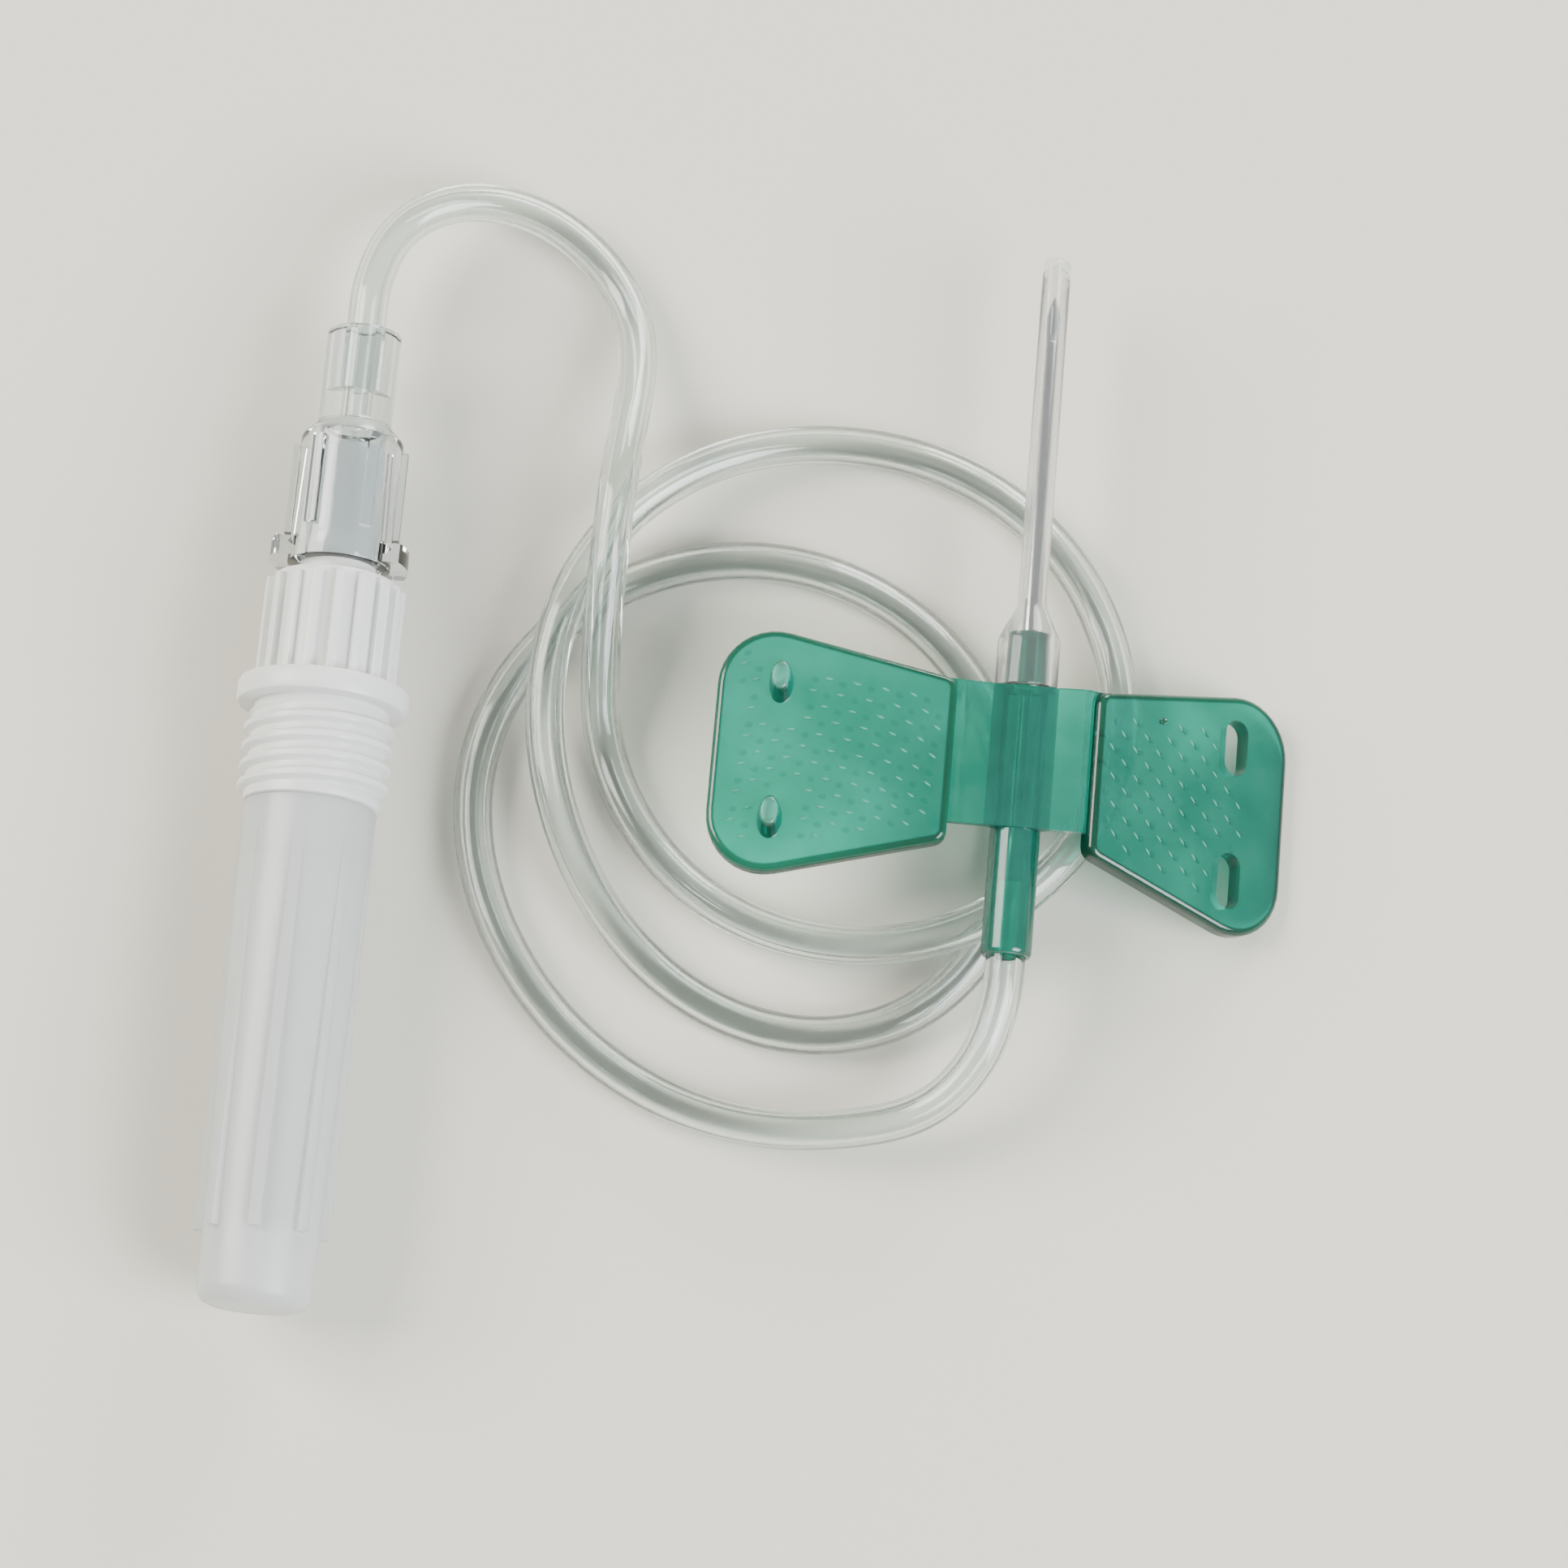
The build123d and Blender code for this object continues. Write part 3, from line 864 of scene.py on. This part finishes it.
def raise_peg(mesh, foot, y, painted_shade_layer, frost_highlight_layer):
    """Draw a peg out of its foot ring by ring: painted shade at its ends, a frosted top with a
    painted highlight.
    """
    faces = [foot]
    share = 1
    for size, height in PEG_LEVELS:
        scale = size / share

        def place(co):
            return Vector(
                (
                    PEG_REACH + (co.x - PEG_REACH) * scale,
                    y + (co.y - y) * scale,
                    PLATE_HIGH + height,
                )
            )

        faces = draw_out(mesh, faces, place)
        share = size
        for vert in faces[0].verts:
            # Painted shade on both ends, and a painted highlight with the frost over the crown
            dark = abs(vert.co.y - y) > PEG_SHADE_END * share * PEG_HALF[1]
            vert[painted_shade_layer] = 1.0 if dark else 0.0
            vert[frost_highlight_layer] = PEG_FROST_HIGHLIGHT if height > PEG_CROWN else 0.0


def wing_flat(side):
    """One wing, lying flat: its blank, then the catches and marks on both faces."""
    mesh = wing_blank()
    cut_web(mesh)
    for height in (PLATE_HIGH, PLATE_LOW):
        open_level(mesh, height)
    painted_shade_layer = mesh.verts.layers.float.new("edge")
    frost_highlight_layer = mesh.verts.layers.float.new("grip")
    # Painted shade on the plate's rims, round the open middles of its flat faces
    for vert in mesh.verts:
        rim = vert.co.x > PLATE_START - NEAR and not vert.is_boundary
        vert[painted_shade_layer] = 1.0 if rim else 0.0
    pegs = []
    gate = []
    if side > 0:
        add_slots(mesh)
        gate = add_caps(mesh, [(GATE, GATE_SLANT)], GATE_HALF, BUMP_SIDES)
    else:
        pegs = add_caps(mesh, [((PEG_REACH, y), 0) for y in CATCHES], PEG_HALF, PEG_SIDES)
    dashes = add_caps(mesh, grip_places(side, GRIP_START), DASH_HALF, DASH_SIDES)
    between = grip_places(side, GRIP_START + GRIP_STEP / 2)
    bumps = add_caps(mesh, between, BUMP_HALF, BUMP_SIDES, PLATE_LOW)
    for height in (PLATE_HIGH, PLATE_LOW):
        fill_level(mesh, height)
    bmesh.ops.recalc_face_normals(mesh, faces=mesh.faces)
    # Painted highlight on the dashes, with their frost
    raise_marks(mesh, dashes, DASH_LEVELS, frost_highlight_layer, 1.0)
    # Painted shade, weaker on the bumps and full on the gate mark
    raise_marks(mesh, bumps, BUMP_LEVELS, painted_shade_layer, BUMP_PAINTED_SHADE)
    raise_marks(mesh, gate, GATE_LEVELS, painted_shade_layer, 1.0)
    for peg, y in zip(pegs, CATCHES):
        raise_peg(mesh, peg, y, painted_shade_layer, frost_highlight_layer)
    return mesh


def wing_sag(side):
    """Lean of a wing at rest: none on the left, down to the table on the right."""
    if side < 0:
        return 0.0
    rise = math.hypot(WING_REACH, PLATE_LOW)
    return math.asin((HINGE_Z - TABLE_Z) / rise) - math.atan2(-PLATE_LOW, WING_REACH)


def make_wing(side, body):
    """Wing in its place, bending with the fold between the hub and its plate."""
    mesh = wing_flat(side)
    bmesh.ops.scale(mesh, vec=(side, 1, 1), verts=mesh.verts)
    sag = wing_sag(side)
    for vert in mesh.verts:
        share = ease((side * vert.co.x / HINGE_REACH + 1) / 2)
        vert.co = Quaternion((0, 1, 0), side * sag * share) @ vert.co
    pivot = Vector((side * HINGE_X, 0, HINGE_Z))
    bmesh.ops.translate(mesh, vec=pivot, verts=mesh.verts)
    wing = finish_piece(body + "_moulding", mesh, green_pvc, None, "wing_green", body)
    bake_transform(wing)


make_wing(-1, "left_wing")
make_wing(1, "right_wing")


def train_mesh(profile, steps):
    """Mesh of a profile turned about the connector train's axis, with distances from its start."""
    return turned(profile, TRAIN, (0, -1, 0), steps)


def around(co):
    """Angle about the train's axis from straight up, in degrees, distance along it, and radius."""
    away = co - TRAIN
    return math.degrees(math.atan2(away.x, away.z)), -away.y, math.hypot(away.x, away.z)


def faces_between(mesh, start, end, inner, angles, half):
    """Outer faces between two distances along the train, near any of some angles."""
    found = []
    for face in mesh.faces:
        angle, along, radius = around(face.calc_center_median())
        off = min(abs((angle - a + 180) % 360 - 180) for a in angles)
        if start < along < end and radius > inner and off < half:
            found.append(face)
    return found


def raise_ribs(mesh, faces, radius):
    """Draw ribs out to a radius."""

    def place(co):
        away = co - TRAIN
        scale = radius / math.hypot(away.x, away.z)
        return TRAIN + Vector((away.x * scale, away.y, away.z * scale))

    return draw_out(mesh, faces, place)


# Female cone on the tubing: neck, shoulder, body with ribs and lugs, and the tapered mouth
SOCKET_R = 2.9
SOCKET_RIB_START = 7.0
SOCKET_RIB_END = 12.2
SOCKET_RIB_R = 3.25
SOCKET_RIB_ANGLE = 6
SOCKET_LUG_START = 12.8
SOCKET_LUG_END = 13.9
SOCKET_LUG_R = 3.9
SOCKET_LUG_ANGLE = 36
socket_mesh = train_mesh(
    [
        (TUBE_R + GLUE_GAP, 0),
        (1.95, 0),
        (2.06, 0.04),
        (2.1, 0.15),
        (2.1, 5.4),
        (2.15, 5.62),
        (2.25, 5.75),
        (2.8, 6.3),
        (2.87, 6.45),
        (SOCKET_R, 6.6),
        (SOCKET_R, SOCKET_RIB_START),
        (SOCKET_R, SOCKET_RIB_END),
        (SOCKET_R, SOCKET_LUG_START),
        (SOCKET_R, SOCKET_LUG_END),
        (2.87, 13.97),
        (2.8, 14.0),
        (2.2, 14.0),
        (2.15, 13.95),
        (1.904, 5.8),
        (PASSAGE_R, 5.8),
        (PASSAGE_R, SOCKET_SEAT),
        (TUBE_R + GLUE_GAP, SOCKET_SEAT),
    ],
    steps=120,
)


def lug_place(co):
    """Place on a lug of a point of the socket's body."""
    away = co - TRAIN
    across = math.sqrt(SOCKET_LUG_R**2 - away.z**2)
    return TRAIN + Vector((math.copysign(across, away.x), away.y, away.z))


wall = SOCKET_R - BESIDE
rib_angles = range(-150, 181, 60)
ribs = faces_between(
    socket_mesh, SOCKET_RIB_START, SOCKET_RIB_END, wall, rib_angles, SOCKET_RIB_ANGLE
)
raise_ribs(socket_mesh, ribs, SOCKET_RIB_R)
for lug_angle in (-90, 90):
    lug = faces_between(
        socket_mesh, SOCKET_LUG_START, SOCKET_LUG_END, wall, [lug_angle], SOCKET_LUG_ANGLE
    )
    draw_out(socket_mesh, lug, lug_place)
socket = finish_piece(
    "luer_socket_body",
    socket_mesh,
    clear_polycarbonate,
    "hub",
    "connector_clear",
    "luer_socket",
)

# Adapter: male cone, shoulder, ribbed waist, flange, threaded land, spigot and the boss of the rear
# cannula
WAIST_R = 3.5
WAIST_START = 15.2
WAIST_END = 21.0
WAIST_RIB_R = 3.95
WAIST_RIB_ANGLE = 4
WAIST_RIB_ROUND = 0.1
LAND_CORE_R = 3.78
THREAD_START = 22.7
THREAD_END = 27.7
THREAD_PITCH = 1.1
THREAD_HEIGHT = 0.42
THREAD_ROWS = 63
THREAD_RUN_OUT = 0.5
# Shares of a pitch where the thread's flank starts and how wide it is
FLANK_START = 0.3
FLANK_WIDTH = 0.45
thread_rows = [
    (LAND_CORE_R, THREAD_START + (THREAD_END - THREAD_START) * i / THREAD_ROWS)
    for i in range(THREAD_ROWS + 1)
]
adapter_mesh = train_mesh(
    [
        (PASSAGE_R, 7.1),
        (1.75, 7.1),
        (1.86, 7.16),
        (1.91, 7.3),
        (2.14, 14.8),
        (3.3, 14.8),
        (3.44, 14.86),
        (WAIST_R, 15.0),
        (WAIST_R, WAIST_START),
        (WAIST_R, WAIST_END),
        (4.5, WAIST_END),
        (4.71, 21.09),
        (4.8, 21.3),
        (4.8, 22.1),
        (4.71, 22.31),
        (4.5, 22.4),
        (LAND_CORE_R, 22.4),
        *thread_rows,
        (3.74, 27.93),
        (3.6, 28.0),
        (3.1, 28.0),
        (3.1, 30.9),
        (3.0, 31.0),
        (1.05, 31.0),
        (1.05, 33.9),
        (0.95, 34.0),
        (CANNULA_R + GLUE_GAP, 34.0),
        (CANNULA_R + GLUE_GAP, REAR_SEAT),
        (PASSAGE_R, REAR_SEAT),
    ],
    steps=180,
)
for vert in adapter_mesh.verts:
    angle, along, radius = around(vert.co)
    if not (THREAD_START < along < THREAD_END and radius > LAND_CORE_R - NEAR):
        continue
    crest = 1 - abs(2 * ((along / THREAD_PITCH + angle / 360) % 1) - 1)
    inside = min(along - THREAD_START, THREAD_END - along)
    fade = ease(inside / THREAD_RUN_OUT)
    rise = THREAD_HEIGHT * fade * ease((crest - FLANK_START) / FLANK_WIDTH)
    away = (vert.co - TRAIN) * Vector((1, 0, 1))
    vert.co += away * (rise / radius)
waist = faces_between(
    adapter_mesh, WAIST_START, WAIST_END, WAIST_R - BESIDE, range(10, 360, 20), WAIST_RIB_ANGLE
)
crests = raise_ribs(adapter_mesh, waist, WAIST_RIB_R)
rims = [
    edge
    for edge in edges_of(crests)
    if any(beside not in crests for beside in edge.link_faces)
]
bevel(adapter_mesh, rims, WAIST_RIB_ROUND, segments=2)
adapter = finish_piece(
    "adapter", adapter_mesh, white_abs, "adapter", "adapter_white", "luer_adapter"
)

# Rear cannula, its sleeve, and the guard over both
rear = make_cannula(
    "rear_cannula_tube",
    TRAIN - Vector((0, REAR_SEAT, 0)),
    TRAIN - Vector((0, REAR_TIP, 0)),
    [(14, 0)],
    "adapter",
    "rear_cannula",
)
sleeve_mesh = train_mesh(
    [
        (0, 50.7),
        (0.7, 50.65),
        (1.0, 50.45),
        (1.05, 50.2),
        (1.05, 31.02),
        (1.35, 31.02),
        (1.45, 31.12),
        (1.45, 50.4),
        (1.38, 50.85),
        (1.15, 51.2),
        (0.7, 51.42),
        (0, 51.5),
    ],
    steps=56,
)
sleeve = finish_piece(
    "sleeve", sleeve_mesh, grey_rubber, "adapter", "sleeve_rubber", "rubber_sleeve"
)
GUARD_RIB_START = 30.0
GUARD_RIB_END = 52.0
GUARD_RIB_R = 3.7
GUARD_RIB_ANGLE = 5
GUARD_THIN_R = 3.186
guard_mesh = train_mesh(
    [
        (0, 55.2),
        (1.6, 55.15),
        (2.1, 54.9),
        (2.3, 54.5),
        (2.72, 31.5),
        (2.8, 31.15),
        (3.15, 31.05),
        (3.15, 28.1),
        (3.22, 28.02),
        (3.6, 28.02),
        (3.69, 28.12),
        (3.657, GUARD_RIB_START),
        (GUARD_THIN_R, GUARD_RIB_END),
        (3.12, 55.1),
        (3.04, 55.5),
        (2.82, 55.8),
        (2.4, 55.97),
        (1.9, 56.0),
        (0, 56.0),
    ],
    steps=72,
)
guard_ribs = faces_between(
    guard_mesh,
    GUARD_RIB_START,
    GUARD_RIB_END,
    GUARD_THIN_R - BESIDE,
    range(0, 360, 45),
    GUARD_RIB_ANGLE,
)
raise_ribs(guard_mesh, guard_ribs, GUARD_RIB_R)
guard = finish_piece(
    "guard", guard_mesh, milky_polypropylene, "guard", "guard_translucent", "adapter_guard"
)

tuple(line[0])

# Pale table under two soft lights, from the left and the front right, and a weaker one from behind
floor_mesh = bpy.data.meshes.new("floor")
FLOOR_HALF = 1.5
corners = [(-1, -1), (1, -1), (1, 1), (-1, 1)]
floor_mesh.from_pydata(
    [(x * FLOOR_HALF, y * FLOOR_HALF, TABLE_Z * MM) for x, y in corners], [], [(0, 1, 2, 3)]
)
floor = bpy.data.objects.new("floor", floor_mesh)
bpy.context.collection.objects.link(floor)
# Matt paper sheet: pale, with no shine of its own
pale_paper = material("pale_paper_matt", "D8D5C8", Roughness=0.9, IOR=1.3)
floor_mesh.materials.append(pale_paper)


def area_light(name, place, size, power, colour):
    """Soft light aimed at the middle of the object."""
    data = bpy.data.lights.new(name, "AREA")
    data.size = size
    data.energy = power
    data.color = srgb(colour)[:3]
    lamp = bpy.data.objects.new(name, data)
    lamp.location = place
    lamp.rotation_mode = "QUATERNION"
    lamp.rotation_quaternion = (Vector(place) - aim).to_track_quat("Z", "Y")
    bpy.context.collection.objects.link(lamp)


area_light("key", (-0.5, 0.1, 0.42), 0.4, 7, "FFFBF4")
area_light("fill", (0.45, -0.25, 0.4), 0.4, 8.5, "F4F8FF")
area_light("back", (0.2, 0.55, 0.22), 0.25, 3, "FFFFFF")
world = bpy.data.worlds.new("studio")
world.use_nodes = True
world.node_tree.nodes["Background"].inputs["Color"].default_value = srgb("E8E9E8")
world.node_tree.nodes["Background"].inputs["Strength"].default_value = 0.55
bpy.context.scene.world = world
